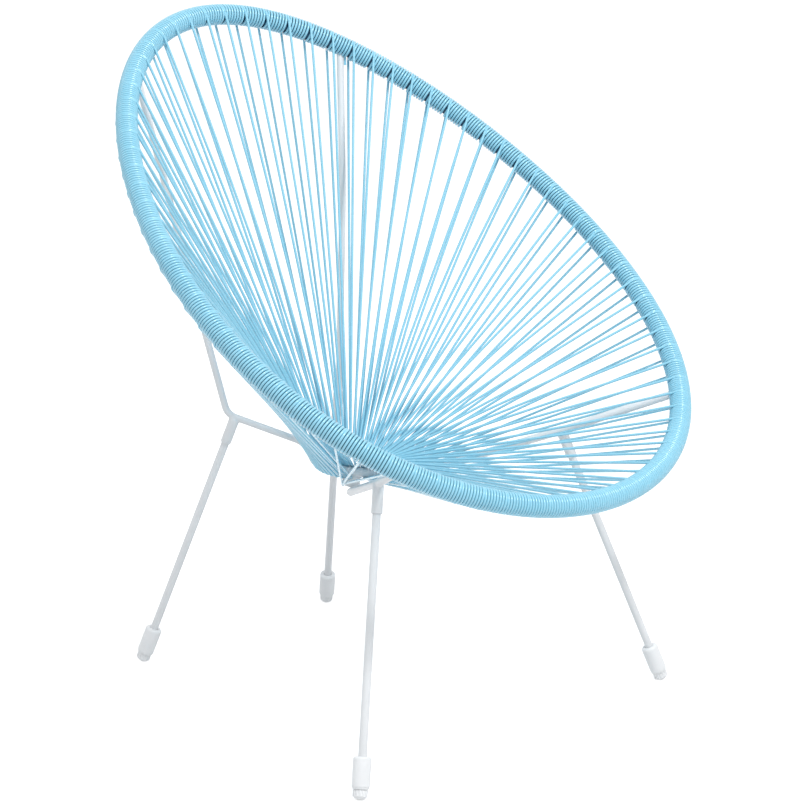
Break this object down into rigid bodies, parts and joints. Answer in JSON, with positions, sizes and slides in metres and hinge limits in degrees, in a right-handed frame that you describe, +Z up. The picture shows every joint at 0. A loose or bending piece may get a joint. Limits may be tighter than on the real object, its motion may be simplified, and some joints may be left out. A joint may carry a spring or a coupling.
{
  "type": "string lounge chair",
  "caption": "Low lounge chair with a tilted egg-shaped hoop bound in cord, a bowl seat of taut cords drawn to a small ring, and splayed legs with levelling feet.",
  "frame": {"origin": "on the floor, under the centre of the bounding box", "axes": "+Z up, the chair faces -Y, +X is on the left hand of a person who sits in it"},
  "size_m": [0.6926, 0.7246, 0.8499],
  "materials": {
    "cord": "glossy pale blue cord",
    "frame": "satin light grey powder coat",
    "foot": "satin light grey"
  },
  "bodies": {
    "chair": {"hoop_tube": "frame", "hub_ring": "frame", "hoop_winding_left": "cord", "hoop_winding_right": "cord", "hoop_winding_turns": "cord", "cord_knot_left": "cord", "front_arm_left": "frame", "back_stay_left": "frame", "ring_tab_left": "frame", "front_arm_right": "frame", "back_stay_right": "frame", "ring_tab_right": "frame", "seat_cords_01": "cord", "seat_cords_02": "cord", "seat_cords_03": "cord", "seat_cords_04": "cord", "seat_cords_05": "cord", "seat_cords_06": "cord", "seat_cords_07": "cord", "seat_cords_08": "cord", "seat_cords_09": "cord", "seat_cords_10": "cord", "leg_socket_front_left": "frame", "leg_front_left": "frame", "foot_sleeve_front_left": "foot", "leg_socket_front_right": "frame", "leg_front_right": "frame", "foot_sleeve_front_right": "foot", "leg_socket_rear_left": "frame", "leg_rear_left": "frame", "foot_sleeve_rear_left": "foot", "leg_socket_rear_right": "frame", "leg_rear_right": "frame", "foot_sleeve_rear_right": "foot"},
    "glide_front_left": {"glide_front_left": "foot"},
    "glide_front_right": {"glide_front_right": "foot"},
    "glide_rear_left": {"glide_rear_left": "foot"},
    "glide_rear_right": {"glide_rear_right": "foot"}
  },
  "joints": [
    {"name": "glide_front_left_screw", "type": "slide", "parent": "chair", "child": "glide_front_left", "axis": [0.3033, -0.2259, -0.9257], "range_m": [0, 0.006]},
    {"name": "glide_front_right_screw", "type": "slide", "parent": "chair", "child": "glide_front_right", "axis": [-0.3033, -0.2259, -0.9257], "range_m": [0, 0.006]},
    {"name": "glide_rear_left_screw", "type": "slide", "parent": "chair", "child": "glide_rear_left", "axis": [0.208, 0.2991, -0.9313], "range_m": [0, 0.006]},
    {"name": "glide_rear_right_screw", "type": "slide", "parent": "chair", "child": "glide_rear_right", "axis": [-0.208, 0.2991, -0.9313], "range_m": [0, 0.006]}
  ]
}
